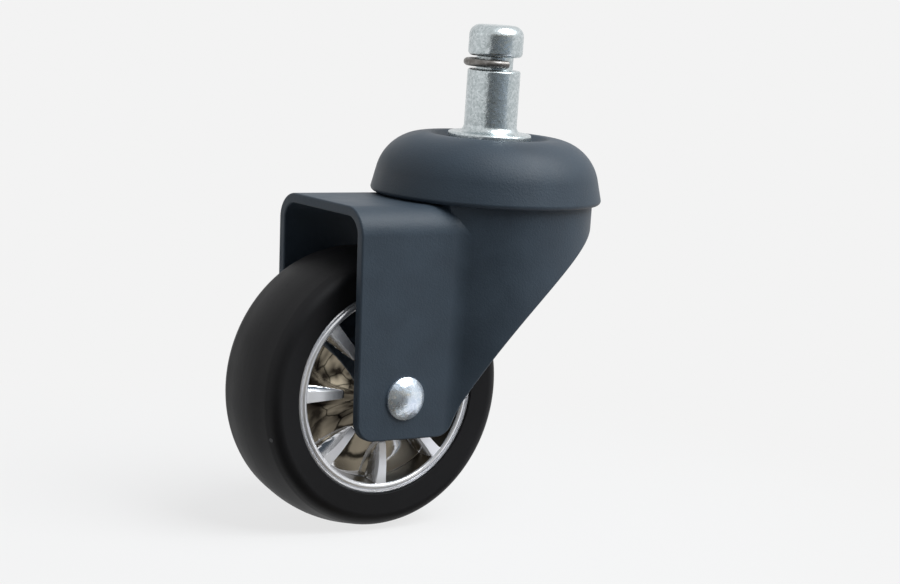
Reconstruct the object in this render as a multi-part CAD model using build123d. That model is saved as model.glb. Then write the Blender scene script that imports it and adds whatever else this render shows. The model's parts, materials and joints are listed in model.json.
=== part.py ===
"""Swivel chair castor: grip-ring stem, ball-race swivel, drawn fork and a wheel with finned hub caps.

Frame: millimetres, +Z up along the stem. The origin is on the stem axis, at the top of its shoulder
flange. The axle runs along Y and the wheel trails towards -X. The near side of the wheel is at -Y.
"""
from build123d import *

import math
import os

# Stem: one turned piece, with the kingpin below its flange.
SHANK_D = 10.9
HEAD_D = 11.2
STEM_LENGTH = 22.0
HEAD_LENGTH = 6.4
HEAD_ROUND = 2.2
HEAD_FOOT_ROUND = 0.9
NECK_D = 7.6
GROOVE_WIDTH = 2.7
FLANGE_D = 17.2
FLANGE_T = 2.0
ROOT_RADIUS = 1.5
EDGE_ROUND = 0.5
KINGPIN_D = 9.0
TENON_D = 7.2
PEEN_D = 11.2
PEEN_H = 1.6
PEEN_ROUND = 1.1

# Grip ring: split spring wire in the groove, sprung over to one side.
RING_WIRE_D = 1.6
RING_SLACK = 0.55
RING_SHIFT = 0.45
RING_GAP_ANGLE = 103.0
RING_GAP_BEARING = -36.0

# Swivel cap: pressed dome. Its crest stands a little below the top of the flange.
CAP_D = 47.6
CAP_SHEET = 1.2
CAP_CREST_DROP = 0.6
CAP_DOME_RADIUS = 10.0
CAP_FLARE = 13.0
CAP_LIP_ROUND = 0.8
RECESS_FLOOR_D = 20.6
RECESS_SLOPE = 2.1
RECESS_ROUND = 1.5
CREST_FLAT = 0.2
CAP_GAP = 0.5
CROWN_CLEARANCE = 0.4

# Fork: a drawn pressing with a round crown under the cap and two legs.
SHEET = 2.0
FORK_TOP = 13.6
FORK_WIDTH = 30.6
NOSE_D = 44.2
WAIST_RADIUS = 5.0
BEND_RADIUS = 5.5
CROWN_FLAT_D = 34.0
CROWN_SHOULDER_DROP = 2.7
CROWN_EDGE_RADIUS = 3.5
LEG_REAR = 12.6
LEG_REAR_SLOPE = 2.5
LEG_FOOT = 8.4
FOOT_FRONT = 11.0
FOOT_REAR_ROUND = 4.0
FOOT_FRONT_ROUND = 3.5
TRIM_NOSE_DEPTH = 2.6
TRIM_BOW = 6.55
SHEET_EDGE_ROUND = 0.4

# Swivel bearing: two rings of balls, in tracks coined into the sheets.
UPPER_BALL_D = 5.0
UPPER_PITCH_D = 30.0
LOWER_BALL_D = 3.2
LOWER_PITCH_D = 19.0
BALL_CLEARANCE = 0.1
BALL_SPACING = 1.12
TRACK_DEPTH = 0.4
CROWN_BORE_CLEARANCE = 0.7
RACE_SHEET = 1.6
RACE_RIM = 1.8
RACE_MARGIN = 1.0

# Axle and wheel.
TRAIL = 27.7
AXLE_DROP = 51.3
RIVET_D = 6.0
RIVET_HEAD_D = 8.6
RIVET_HEAD_H = 2.0
RIVET_RIM = 0.5
PEENED_END_D = 8.0
PEENED_END_H = 1.5
SLEEVE_WALL = 1.5
HUB_WALL = 3.0
HUB_END_PLAY = 0.3
WHEEL_D = 56.5
TREAD_DROP = 0.9
TREAD_WIDTH = 14.8
TYRE_WIDTH = 19.8
SHOULDER_RADIUS = 2.4
TREAD_EDGE_RADIUS = 3.0
TYRE_WALL_DROP = 0.65
TYRE_SHOULDER_DROP = 1.0
CORE_WEB = 6.8
CORE_RIM = 1.2
CORE_RIM_WIDTH = 14.0

# Hub caps: plated mouldings with a stepped ring, a dish and fins.
RIM_D = 41.3
RIM_FACE = 9.0
LIP_WIDTH = 0.45
LIP_FALL = 0.2
RIM_GROOVE_WIDTH = 0.3
RIM_GROOVE_DEPTH = 0.55
BEAD_WIDTH = 1.25
BEAD_RISE = 0.4
DISH_RIM = 5.6
DISH_HUB = 10.0
DISH_SAG = 0.75
DISH_WALL_WIDTH = 0.9
DISH_THICKNESS = 2.4
FIN_COUNT = 8
FIN_BASE_OUTER = 4.8
FIN_BASE_INNER = 2.8
FIN_CREST_OUTER = 2.3
FIN_CREST_INNER = 1.3
FIN_TIP_GAP = 2.3
FIN_TIP_DROP = 0.6
FIN_BULGE = 0.35

# Fits.
SEAT_FIT = 0.02
RUNNING_FIT = 0.05

# How far a cutting or trimming shape runs past what it cuts.
OVERRUN = 18.0


def turned(outline):
    """Turn an outline of radius and height about the stem axis."""
    return revolve(Plane.XZ * outline, Axis.Z)


def turned_on_axle(outline):
    """Turn an outline of radius and sideways distance about the axle."""
    return Pos(-TRAIL, 0, -AXLE_DROP) * revolve(outline, Axis.Y)


def polygon(*points):
    """Flat face inside straight lines through the points."""
    return make_face(Polyline(*points, close=True))


def round_corners(outline, radius, *corners):
    """Round the corners of an outline that lie nearest to the given points."""
    picked = [outline.vertices().sort_by_distance(Vector(*corner))[0] for corner in corners]
    return fillet(picked, radius)


def set_off(points, distance):
    """Corners of a bent line, moved to its right-hand side by a distance."""
    runs = [(Vector(*end) - Vector(*start)).normalized() for start, end in zip(points, points[1:])]
    normals = [Vector(run.Y, -run.X) for run in runs]
    corners = []
    for point, before, after in zip(points, [normals[0], *normals], [*normals, normals[-1]]):
        corner = Vector(*point) + (before + after) * (distance / (1 + before.dot(after)))
        corners.append((corner.X, corner.Y))
    return corners


def ball_track(ball_d, pitch_d, height):
    """Ring-shaped cutter for the track of a ring of balls."""
    section = Pos(pitch_d / 2, height) * Circle(ball_d / 2 + BALL_CLEARANCE)
    return turned(section)


def ball_ring(ball_d, pitch_d, height):
    """A full ring of loose balls, as separate solids."""
    count = math.floor(math.pi * pitch_d / (BALL_SPACING * ball_d))
    places = PolarLocations(pitch_d / 2, count)
    return [Pos(0, 0, height) * place * Sphere(ball_d / 2) for place in places]


# Heights of the swivel's layers, from the flange down.
CAP_FLOOR = -FLANGE_T
CAP_CREST = -CAP_CREST_DROP
CAP_BOTTOM = -FORK_TOP + CAP_GAP
FLARE_SLOPE = math.tan(math.radians(CAP_FLARE))
DOME_TOP_R = CAP_D / 2 + (CAP_BOTTOM - CAP_CREST + CAP_LIP_ROUND) * FLARE_SLOPE
DOME_TURN = math.radians(90 - CAP_FLARE)
RECESS_TURN = math.atan2(CAP_CREST - CAP_FLOOR, RECESS_SLOPE)
CREST_R = RECESS_FLOOR_D / 2 + RECESS_SLOPE
CREST_ROOM = DOME_TOP_R - CREST_R - CREST_FLAT - RECESS_ROUND * math.tan(RECESS_TURN / 2)
DOME_R = min(CAP_DOME_RADIUS, CREST_ROOM / math.tan(DOME_TURN / 2))
DOME_CENTRE_R = DOME_TOP_R - DOME_R * math.tan(DOME_TURN / 2)
DOME_CENTRE_Z = CAP_CREST - DOME_R
BALL_REACH = DOME_R - CAP_SHEET - UPPER_BALL_D / 2 - BALL_CLEARANCE
BALL_OFFSET = UPPER_PITCH_D / 2 - DOME_CENTRE_R
UPPER_BALL_Z = DOME_CENTRE_Z + math.sqrt(BALL_REACH**2 - BALL_OFFSET**2)
CROWN_TOP = UPPER_BALL_Z - UPPER_BALL_D / 2 - BALL_CLEARANCE + TRACK_DEPTH
CROWN_UNDER = CROWN_TOP - SHEET
CAP_INSIDE_R = CAP_D / 2 - CAP_SHEET / math.cos(math.radians(CAP_FLARE))
CROWN_R = min(NOSE_D / 2, CAP_INSIDE_R - CROWN_CLEARANCE)
LOWER_BALL_Z = CROWN_UNDER + TRACK_DEPTH - LOWER_BALL_D / 2 - BALL_CLEARANCE
RACE_TOP = LOWER_BALL_Z - LOWER_BALL_D / 2 - BALL_CLEARANCE + TRACK_DEPTH
RACE_UNDER = RACE_TOP - RACE_SHEET
LEG_INSIDE = FORK_WIDTH / 2 - SHEET


def make_stem():
    head_bottom = STEM_LENGTH - HEAD_LENGTH
    shank_top = head_bottom - GROOVE_WIDTH
    head_r = HEAD_D / 2
    shank_r = SHANK_D / 2
    flange_r = FLANGE_D / 2
    outline = polygon(
        (0, STEM_LENGTH),
        (head_r, STEM_LENGTH),
        (head_r, head_bottom),
        (NECK_D / 2, head_bottom),
        (NECK_D / 2, shank_top),
        (shank_r, shank_top),
        (shank_r, 0),
        (flange_r, 0),
        (flange_r, CAP_FLOOR),
        (KINGPIN_D / 2, CAP_FLOOR),
        (KINGPIN_D / 2, RACE_TOP),
        (TENON_D / 2, RACE_TOP),
        (TENON_D / 2, RACE_UNDER),
        (PEEN_D / 2, RACE_UNDER),
        (PEEN_D / 2, RACE_UNDER - PEEN_H),
        (0, RACE_UNDER - PEEN_H),
    )
    outline = round_corners(outline, HEAD_ROUND, (head_r, STEM_LENGTH))
    outline = round_corners(outline, HEAD_FOOT_ROUND, (head_r, head_bottom))
    outline = round_corners(outline, EDGE_ROUND, (shank_r, shank_top))
    outline = round_corners(outline, ROOT_RADIUS, (shank_r, 0))
    outline = round_corners(outline, EDGE_ROUND, (flange_r, 0), (flange_r, CAP_FLOOR))
    outline = round_corners(outline, PEEN_ROUND, (PEEN_D / 2, RACE_UNDER - PEEN_H))
    return turned(outline)


def make_grip_ring():
    wire_r = RING_WIRE_D / 2
    mean_r = NECK_D / 2 + wire_r + RING_SLACK
    height = STEM_LENGTH - HEAD_LENGTH - GROOVE_WIDTH / 2
    start = RING_GAP_BEARING + RING_GAP_ANGLE / 2
    section = Pos(mean_r, 0) * Circle(wire_r)
    bow = Rot(0, 0, start) * revolve(Plane.XZ * section, Axis.Z, 360 - RING_GAP_ANGLE)
    bearing = math.radians(RING_GAP_BEARING)
    shift = Pos(-RING_SHIFT * math.cos(bearing), -RING_SHIFT * math.sin(bearing), height)
    return shift * bow


def make_swivel_cap():
    floor_r = RECESS_FLOOR_D / 2
    lip_r = CAP_D / 2 + CAP_LIP_ROUND * FLARE_SLOPE
    outer = [
        (KINGPIN_D / 2 + SEAT_FIT, CAP_FLOOR),
        (floor_r, CAP_FLOOR),
        (CREST_R, CAP_CREST),
        (DOME_TOP_R, CAP_CREST),
        (lip_r, CAP_BOTTOM),
    ]
    inner = set_off(outer, CAP_SHEET)
    rounds = [RECESS_ROUND, RECESS_ROUND, DOME_R]
    inner_rounds = [RECESS_ROUND + CAP_SHEET, RECESS_ROUND - CAP_SHEET, DOME_R - CAP_SHEET]
    outer_line = FilletPolyline(*outer, radius=rounds)
    inner_line = FilletPolyline(*inner, radius=inner_rounds)
    ends = [Line(outer[0], inner[0]), Line(outer[-1], inner[-1])]
    outline = make_face(Wire([*outer_line.edges(), *inner_line.edges(), *ends]))
    outline = round_corners(outline, CAP_LIP_ROUND, (lip_r, CAP_BOTTOM))
    return turned(outline)


def make_lower_race():
    track_r = LOWER_PITCH_D / 2
    rim_r = track_r + LOWER_BALL_D / 2 + RACE_MARGIN
    outline = polygon(
        (TENON_D / 2 + SEAT_FIT, RACE_TOP),
        (rim_r, RACE_TOP),
        (rim_r, RACE_TOP + RACE_RIM),
        (rim_r + RACE_SHEET, RACE_TOP + RACE_RIM),
        (rim_r + RACE_SHEET, RACE_UNDER),
        (TENON_D / 2 + SEAT_FIT, RACE_UNDER),
    )
    outline = round_corners(outline, RACE_SHEET, (rim_r + RACE_SHEET, RACE_UNDER))
    return turned(outline) - ball_track(LOWER_BALL_D, LOWER_PITCH_D, LOWER_BALL_Z)


def fork_plan(inset):
    """Keyhole outline of the fork from above, set in from its outer face and run past its open end."""
    nose_r = NOSE_D / 2 - inset
    half_width = FORK_WIDTH / 2 - inset
    reach = TRAIL + LEG_REAR + OVERRUN
    plan = Circle(nose_r) + Pos(-reach / 2, 0) * Rectangle(reach, 2 * half_width)
    waist_x = -math.sqrt(nose_r**2 - half_width**2)
    return round_corners(plan, WAIST_RADIUS + inset, (waist_x, half_width), (waist_x, -half_width))


def leg_block(inset):
    """The keyhole outline drawn down, with its top edge bent over. The open end keeps a square edge."""
    depth = AXLE_DROP + LEG_FOOT + OVERRUN
    block = extrude(Pos(0, 0, -depth) * fork_plan(inset), depth - FORK_TOP - inset)
    top_edges = block.faces().sort_by(Axis.Z)[-1].edges().sort_by(Axis.X)
    return fillet(top_edges[1:], BEND_RADIUS - inset)


def crown_block(inset):
    """The round crown that rises from the top plate into the cap."""
    flat_r = CROWN_FLAT_D / 2
    slope = math.atan2(CROWN_SHOULDER_DROP, CROWN_R - flat_r)
    top = CROWN_TOP - inset
    flat_corner = (flat_r - inset * math.tan(slope / 2), top)
    wall_turn = math.pi / 2 - slope
    wall_corner = (
        CROWN_R - inset,
        CROWN_TOP - CROWN_SHOULDER_DROP - inset * math.tan(wall_turn / 2),
    )
    bottom = -FORK_TOP - BEND_RADIUS
    outline = polygon((0, top), flat_corner, wall_corner, (CROWN_R - inset, bottom), (0, bottom))
    outline = round_corners(outline, CROWN_EDGE_RADIUS - inset, flat_corner)
    outline = round_corners(outline, BEND_RADIUS - inset, wall_corner)
    return turned(outline)


def trim_prism():
    """What the trimming tool leaves: the fork's outline from the side, carried across its width."""
    foot_z = -AXLE_DROP - LEG_FOOT
    sky_z = CROWN_TOP + OVERRUN
    rear_slope = math.tan(math.radians(LEG_REAR_SLOPE))
    rear_x = -TRAIL - LEG_REAR
    rear_foot = (rear_x - (foot_z + FORK_TOP) * rear_slope, foot_z)
    rear_sky = (rear_x - (sky_z + FORK_TOP) * rear_slope, sky_z)
    front_foot = (FOOT_FRONT - TRAIL, foot_z)
    nose = (NOSE_D / 2, -FORK_TOP - TRIM_NOSE_DEPTH)
    beyond_x = NOSE_D / 2 + OVERRUN
    trim_line = SagittaArc(front_foot, nose, TRIM_BOW)
    rest = Polyline(nose, (beyond_x, nose[1]), (beyond_x, sky_z), rear_sky, rear_foot, front_foot)
    outline = make_face(Wire([trim_line, *rest.edges()]))
    outline = round_corners(outline, FOOT_REAR_ROUND, rear_foot)
    outline = round_corners(outline, FOOT_FRONT_ROUND, front_foot)
    return extrude(Plane.XZ * outline, NOSE_D / 2 + OVERRUN, both=True)


def trimmed_edges(fork, prism):
    """Edges of the fork's sheet where the trimming tool cut through it."""
    cut_faces = []
    for face in fork.faces():
        middle = Vertex(*face.position_at(0.5, 0.5))
        if min(side.distance_to(middle) for side in prism.faces()) < SEAT_FIT:
            cut_faces.append(face)
    edges = [edge for face in cut_faces for edge in face.edges()]
    return [edge for edge in edges if edges.count(edge) == 1]


def make_fork():
    outside = leg_block(0) + crown_block(0)
    inside = leg_block(SHEET) + crown_block(SHEET)
    prism = trim_prism()
    fork = (outside - inside) & prism
    fork = fillet(trimmed_edges(fork, prism), SHEET_EDGE_ROUND)
    fork -= Cylinder(KINGPIN_D / 2 + CROWN_BORE_CLEARANCE, 2 * (FORK_TOP + OVERRUN))
    fork -= ball_track(UPPER_BALL_D, UPPER_PITCH_D, UPPER_BALL_Z)
    fork -= ball_track(LOWER_BALL_D, LOWER_PITCH_D, LOWER_BALL_Z)
    fork -= Pos(-TRAIL, 0, -AXLE_DROP) * Rot(90, 0, 0) * Cylinder(RIVET_D / 2 + SEAT_FIT, FORK_WIDTH + OVERRUN)
    return fork


def dome_arc(edge_r, edge, top):
    """Arc of a ball-shaped dome, from its edge to its top on the axis."""
    rise = abs(top - edge)
    ball_r = (edge_r**2 + rise**2) / (2 * rise)
    half_angle = math.asin(edge_r / ball_r) / 2
    fall = ball_r * (1 - math.cos(half_angle))
    middle = (ball_r * math.sin(half_angle), top - math.copysign(fall, top - edge))
    return ThreePointArc((edge_r, edge), middle, (0, top))


def make_axle_rivet():
    """Outline of the rivet: domed head on the near side, shank, peened end on the far side."""
    shank_r = RIVET_D / 2
    head_r = RIVET_HEAD_D / 2
    end_r = PEENED_END_D / 2
    seat = FORK_WIDTH / 2
    head_top = -seat - RIVET_HEAD_H
    end_top = seat + PEENED_END_H
    head_dome = dome_arc(head_r, -seat - RIVET_RIM, head_top)
    end_dome = dome_arc(end_r, seat + RIVET_RIM, end_top)
    sides = Polyline(
        (end_r, seat + RIVET_RIM),
        (end_r, seat),
        (shank_r, seat),
        (shank_r, -seat),
        (head_r, -seat),
        (head_r, -seat - RIVET_RIM),
    )
    axis_line = Line((0, head_top), (0, end_top))
    return turned_on_axle(make_face(Wire([head_dome, axis_line, end_dome, *sides.edges()])))


def make_axle_sleeve():
    bore_r = RIVET_D / 2 + SEAT_FIT
    wall = Pos(bore_r + SLEEVE_WALL / 2, 0) * Rectangle(SLEEVE_WALL, 2 * LEG_INSIDE)
    return turned_on_axle(wall)


SLEEVE_R = RIVET_D / 2 + SEAT_FIT + SLEEVE_WALL
BORE_R = SLEEVE_R + RUNNING_FIT
HUB_R = BORE_R + HUB_WALL
RIM_R = RIM_D / 2
RIM_SEAT = CORE_RIM_WIDTH / 2
BEAD_R = RIM_R - LIP_WIDTH - RIM_GROOVE_WIDTH - BEAD_WIDTH
CORE_R = RIM_R - LIP_WIDTH - RIM_GROOVE_WIDTH
WEB_FACE = CORE_WEB / 2
CAP_BORE_R = HUB_R + SEAT_FIT
DISH_R = BEAD_R - DISH_WALL_WIDTH
CAP_SEAT = RIM_SEAT + SEAT_FIT
CAP_FOOT = WEB_FACE + SEAT_FIT
CAP_FOOT_R = CORE_R - CORE_RIM - SEAT_FIT
CAP_FOOT_IN = DISH_R - DISH_WALL_WIDTH


def make_wheel_core():
    hub_end = LEG_INSIDE - HUB_END_PLAY
    rim_inside = CORE_R - CORE_RIM
    half = [
        (BORE_R, hub_end),
        (HUB_R, hub_end),
        (HUB_R, WEB_FACE),
        (rim_inside, WEB_FACE),
        (rim_inside, RIM_SEAT),
        (CORE_R, RIM_SEAT),
    ]
    other_half = [(r, -side) for r, side in reversed(half)]
    return turned_on_axle(polygon(*half, *other_half))


def make_tyre():
    """Tyre section: seat on the core, step for the hub cap's ring, side wall, shoulder and crowned tread."""
    wheel_r = WHEEL_D / 2
    step_r = RIM_R + SEAT_FIT
    wall_top = TYRE_WIDTH / 2
    wall_foot = wall_top - TYRE_WALL_DROP
    tread_edge = (wheel_r - TREAD_DROP, TREAD_WIDTH / 2)
    shoulder = (wheel_r - TREAD_DROP - TYRE_SHOULDER_DROP, wall_top)
    half = [
        tread_edge,
        shoulder,
        (step_r, wall_foot),
        (step_r, RIM_SEAT),
        (CORE_R, RIM_SEAT),
    ]
    other_half = [(r, -side) for r, side in reversed(half)]
    tread = ThreePointArc(other_half[-1], (wheel_r, 0), tread_edge)
    outline = make_face(Wire([tread, *Polyline(*half, *other_half).edges()]))
    for side in (1, -1):
        outline = round_corners(outline, SHOULDER_RADIUS, (shoulder[0], side * shoulder[1]))
        outline = round_corners(outline, TREAD_EDGE_RADIUS, (tread_edge[0], side * tread_edge[1]))
    return turned_on_axle(outline)


def hub_cap_shell():
    """Turned form of a hub cap, facing +Y: a dish that sweeps up to the hub, then bead, groove and lip."""
    bead_top = RIM_FACE - LIP_FALL
    groove_in = BEAD_R + BEAD_WIDTH
    groove_out = groove_in + RIM_GROOVE_WIDTH
    dish = SagittaArc((CAP_BORE_R, DISH_HUB), (DISH_R, DISH_RIM), -DISH_SAG)
    bead = ThreePointArc(
        (BEAD_R, bead_top),
        (BEAD_R + BEAD_WIDTH / 2, bead_top + BEAD_RISE),
        (groove_in, bead_top),
    )
    wall = Line((DISH_R, DISH_RIM), (BEAD_R, bead_top))
    rest = Polyline(
        (groove_in, bead_top),
        (groove_in, RIM_FACE - RIM_GROOVE_DEPTH),
        (groove_out, RIM_FACE - RIM_GROOVE_DEPTH),
        (groove_out, RIM_FACE),
        (RIM_R, RIM_FACE - LIP_FALL),
        (RIM_R, CAP_SEAT),
        (CAP_FOOT_R, CAP_SEAT),
        (CAP_FOOT_R, CAP_FOOT),
        (CAP_FOOT_IN, CAP_FOOT),
        (CAP_BORE_R, DISH_HUB - DISH_THICKNESS),
        (CAP_BORE_R, DISH_HUB),
    )
    outline = make_face(Wire([dish, wall, bead, *rest.edges()]))
    return revolve(outline, Axis.Y)


def hub_cap_fin():
    """One fin: a tapering ridge with a flat crest, bowed along its length and bevelled at its inner tip."""
    inner_r = CAP_BORE_R + FIN_TIP_GAP
    outer_r = BEAD_R + BEAD_WIDTH / 2
    crest = RIM_FACE - LIP_FALL
    root = WEB_FACE
    knee = (inner_r + FIN_TIP_DROP / 2, crest - FIN_TIP_DROP / 2)
    crown_line = ThreePointArc(knee, ((knee[0] + outer_r) / 2, crest + FIN_BULGE), (outer_r, crest))
    ends = Polyline(
        (outer_r, crest),
        (outer_r, CAP_SEAT),
        (DISH_R, CAP_SEAT),
        (CAP_FOOT_IN, CAP_FOOT),
        (inner_r, CAP_FOOT),
        (inner_r, crest - FIN_TIP_DROP),
        knee,
    )
    side_view = extrude(make_face(Wire([crown_line, *ends.edges()])), FIN_BASE_OUTER, both=True)
    top = crest + 2 * FIN_BULGE
    sections = []
    for radius, base, ridge in (
        (inner_r, FIN_BASE_INNER, FIN_CREST_INNER),
        (outer_r, FIN_BASE_OUTER, FIN_CREST_OUTER),
    ):
        corners = [(root, base / 2), (top, ridge / 2), (top, -ridge / 2), (root, -base / 2)]
        sections.append(polygon(*[(radius, side, across) for side, across in corners]))
    return side_view & loft(sections, ruled=True)


def make_hub_cap(facing):
    fins = [Rot(0, step * 360 / FIN_COUNT, 0) * hub_cap_fin() for step in range(FIN_COUNT)]
    cap = hub_cap_shell() + fins
    return Pos(-TRAIL, 0, -AXLE_DROP) * Rot(0, 0, facing) * cap


PARTS = {
    "stem": make_stem(),
    "grip_ring": make_grip_ring(),
    "swivel_cap": make_swivel_cap(),
    "upper_race_balls": ball_ring(UPPER_BALL_D, UPPER_PITCH_D, UPPER_BALL_Z),
    "lower_race_balls": ball_ring(LOWER_BALL_D, LOWER_PITCH_D, LOWER_BALL_Z),
    "lower_race": make_lower_race(),
    "fork": make_fork(),
    "axle_rivet": make_axle_rivet(),
    "axle_sleeve": make_axle_sleeve(),
    "wheel_core": make_wheel_core(),
    "tyre": make_tyre(),
    "hub_cap_near": make_hub_cap(180),
    "hub_cap_far": make_hub_cap(0),
}

os.makedirs("parts", exist_ok=True)
for name, solids in PARTS.items():
    if isinstance(solids, list):
        solids = Compound(solids)
    export_step(solids, f"parts/{name}.step")
    print(name, round(solids.volume, 1))
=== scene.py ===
# %% [markdown]
# # A swivel chair castor, dressed for the camera
#
# The frame brings the castor as solids at their real size: stem, grip ring, swivel cap, fork, wheel and
# the two rings of balls. This lesson gives every visible piece a clean surface and a finish. Turned,
# pressed and moulded pieces are worked out as surfaces in numpy, because a lathe profile or a polar grid
# has smooth normals that a mesh of loose triangles lacks. The fork and the hidden pieces keep the frame's
# own meshes, merged.

import json
import math

import bmesh
import bpy
import numpy as np
from mathutils import Matrix, Vector


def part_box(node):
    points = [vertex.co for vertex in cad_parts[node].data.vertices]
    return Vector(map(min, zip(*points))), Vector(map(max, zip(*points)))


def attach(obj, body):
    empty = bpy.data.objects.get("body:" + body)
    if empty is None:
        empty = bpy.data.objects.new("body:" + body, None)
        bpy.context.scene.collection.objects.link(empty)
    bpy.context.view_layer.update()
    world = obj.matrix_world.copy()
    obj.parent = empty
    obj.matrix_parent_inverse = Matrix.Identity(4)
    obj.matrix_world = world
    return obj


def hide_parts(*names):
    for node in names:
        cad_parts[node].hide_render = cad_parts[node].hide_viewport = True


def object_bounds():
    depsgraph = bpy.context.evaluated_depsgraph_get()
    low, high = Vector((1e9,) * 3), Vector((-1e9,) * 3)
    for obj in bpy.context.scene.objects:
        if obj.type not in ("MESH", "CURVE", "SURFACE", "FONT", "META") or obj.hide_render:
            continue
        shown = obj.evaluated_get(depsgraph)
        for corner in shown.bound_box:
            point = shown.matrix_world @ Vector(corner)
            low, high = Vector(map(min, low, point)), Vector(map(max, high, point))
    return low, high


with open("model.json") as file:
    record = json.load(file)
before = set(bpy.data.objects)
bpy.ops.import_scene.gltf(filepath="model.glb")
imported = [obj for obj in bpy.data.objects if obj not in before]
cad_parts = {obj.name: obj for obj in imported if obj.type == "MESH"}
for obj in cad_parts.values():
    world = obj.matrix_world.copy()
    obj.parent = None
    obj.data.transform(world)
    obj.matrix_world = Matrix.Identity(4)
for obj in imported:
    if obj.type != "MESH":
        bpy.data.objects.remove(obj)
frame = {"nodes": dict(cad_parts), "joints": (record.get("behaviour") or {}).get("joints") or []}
cad_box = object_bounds()
joints = {joint["name"]: joint for joint in frame["joints"]}

MM = 0.001
AXLE = np.array(joints["wheel_spin"]["pos_m"])
HUB_CENTRE = AXLE * (1, 0, 1)
ORIGIN = np.zeros(3)
RIDGE_ROOM = 0.1 * MM  # keeps the tread's parting ridge, which the solids lack, off the floor
FLOOR_Z = cad_box[0].z - RIDGE_ROOM
print("box in mm:", [round(side / MM, 1) for side in cad_box[1] - cad_box[0]])
print("axle at", AXLE, "and floor at", round(FLOOR_Z, 5))

# %% [markdown]
# ## Grids into meshes
#
# Every new piece is a grid of points: rows along a profile, columns round an axis or along a path. The
# faces follow from index arithmetic on whole arrays. Doubled points at seams and poles are merged, so
# that each piece is one closed shell, and a Weighted Normal modifier keeps flat faces flat in the shading.

# %% Grid helpers
MERGE_DISTANCE = 1e-6
SHARP_ANGLE = math.radians(40)


def grid_faces(rows, columns):
    """Quads of a grid that closes on itself both ways: each joins a point to the next row and column."""
    row, column = np.meshgrid(np.arange(rows), np.arange(columns), indexing="ij")
    next_row = (row + 1) % rows
    next_column = (column + 1) % columns
    corners = [
        row * columns + column,
        row * columns + next_column,
        next_row * columns + next_column,
        next_row * columns + column,
    ]
    return np.stack([corner.ravel() for corner in corners], axis=1)


def finish_mesh(name, mesh):
    """Merge doubled points, turn the faces outwards and shade the mesh smooth between sharp edges."""
    shell = bmesh.new()
    shell.from_mesh(mesh)
    bmesh.ops.remove_doubles(shell, verts=shell.verts, dist=MERGE_DISTANCE)
    bmesh.ops.dissolve_degenerate(shell, edges=shell.edges, dist=MERGE_DISTANCE)
    bmesh.ops.recalc_face_normals(shell, faces=shell.faces)
    shell.to_mesh(mesh)
    shell.free()
    mesh.shade_smooth()
    mesh.set_sharp_from_angle(angle=SHARP_ANGLE)
    piece = bpy.data.objects.new(name, mesh)
    bpy.context.scene.collection.objects.link(piece)
    flatten = piece.modifiers.new("flat_faces", "WEIGHTED_NORMAL")
    flatten.keep_sharp = True
    return piece


def grid_piece(name, points, open_ends=False, **masks):
    """Closed piece from points with rows, columns and three coordinates, and masks on its points.

    With open ends the last row isn't joined to the first: both rows have shrunk to a point by then.
    """
    rows, columns = points.shape[:2]
    faces = grid_faces(rows, columns)
    if open_ends:
        faces = faces[:-columns]
    mesh = bpy.data.meshes.new(name)
    mesh.from_pydata(points.reshape(-1, 3).tolist(), [], faces.tolist())
    for label, values in masks.items():
        mesh.attributes.new(label, "FLOAT", "POINT").data.foreach_set("value", values.ravel())
    return finish_mesh(name, mesh)


def merged_copy(name, node):
    """Copy of a node's mesh as one closed shell with smooth shading."""
    return finish_mesh(name, frame["nodes"][node].data.copy())


def dress(piece, body, slot, material, *stands_for):
    """Give a piece its body, one material slot with its material, and the nodes that it stands for. The slot
    argument is not used.
    """
    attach(piece, body)
    if stands_for:
        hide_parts(*stands_for)
    piece.data.materials.clear()
    piece.data.materials.append(material)
    print(piece.name, "on", body, "with", len(piece.data.polygons), "faces")


# %% [markdown]
# ## Profiles and the lathe
#
# A turned or pressed piece is a line of corners with an arc at each corner, turned about an axis. The
# corners are few and carry the real sizes in millimetres, and the arcs are worked out from them.

# %% Profile helpers
ARC_POINTS = 10
FINE_ARC_POINTS = 24
LATHE_STEPS = 192
FINE_LATHE_STEPS = 256
STEM_AXES = np.array([[1, 0, 0], [0, 1, 0], [0, 0, 1]], float)
AXLE_AXES = np.array([[1, 0, 0], [0, 0, 1], [0, 1, 0]], float)


def rounded_profile(corners, arc_points=ARC_POINTS):
    """Closed line through corners (across, along, radius) with each corner cut by an arc of its radius.

    Where the directions a and b to the neighbouring corners open by an angle, the arc touches both lines at
    radius / tan(angle / 2) from the corner. Its centre is on the bisector, radius / sin(angle / 2) away, and
    its points swing at an even rate from one touching point to the other.
    """
    corners = np.asarray(corners, float)
    place, radius = corners[:, :2], corners[:, 2:]
    to_last = np.roll(place, 1, axis=0) - place
    to_next = np.roll(place, -1, axis=0) - place
    to_last /= np.linalg.norm(to_last, axis=1, keepdims=True)
    to_next /= np.linalg.norm(to_next, axis=1, keepdims=True)
    opening = np.arccos(np.clip((to_last * to_next).sum(1, keepdims=True), -1, 1))
    bisector = to_last + to_next
    bisector /= np.linalg.norm(bisector, axis=1, keepdims=True)
    centre = place + bisector * radius / np.sin(opening / 2)
    touch = radius / np.tan(opening / 2)
    start = place + to_last * touch - centre
    end = place + to_next * touch - centre
    turn = (np.pi - opening)[:, :, None]
    share = np.linspace(0, 1, arc_points)[None, :, None]
    swing = np.sin((1 - share) * turn) * start[:, None] + np.sin(share * turn) * end[:, None]
    line = (centre[:, None] + swing / np.sin(turn)).reshape(-1, 2)
    moved = np.linalg.norm(line - np.roll(line, 1, axis=0), axis=1) > MERGE_DISTANCE / MM
    return line[moved]


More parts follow.
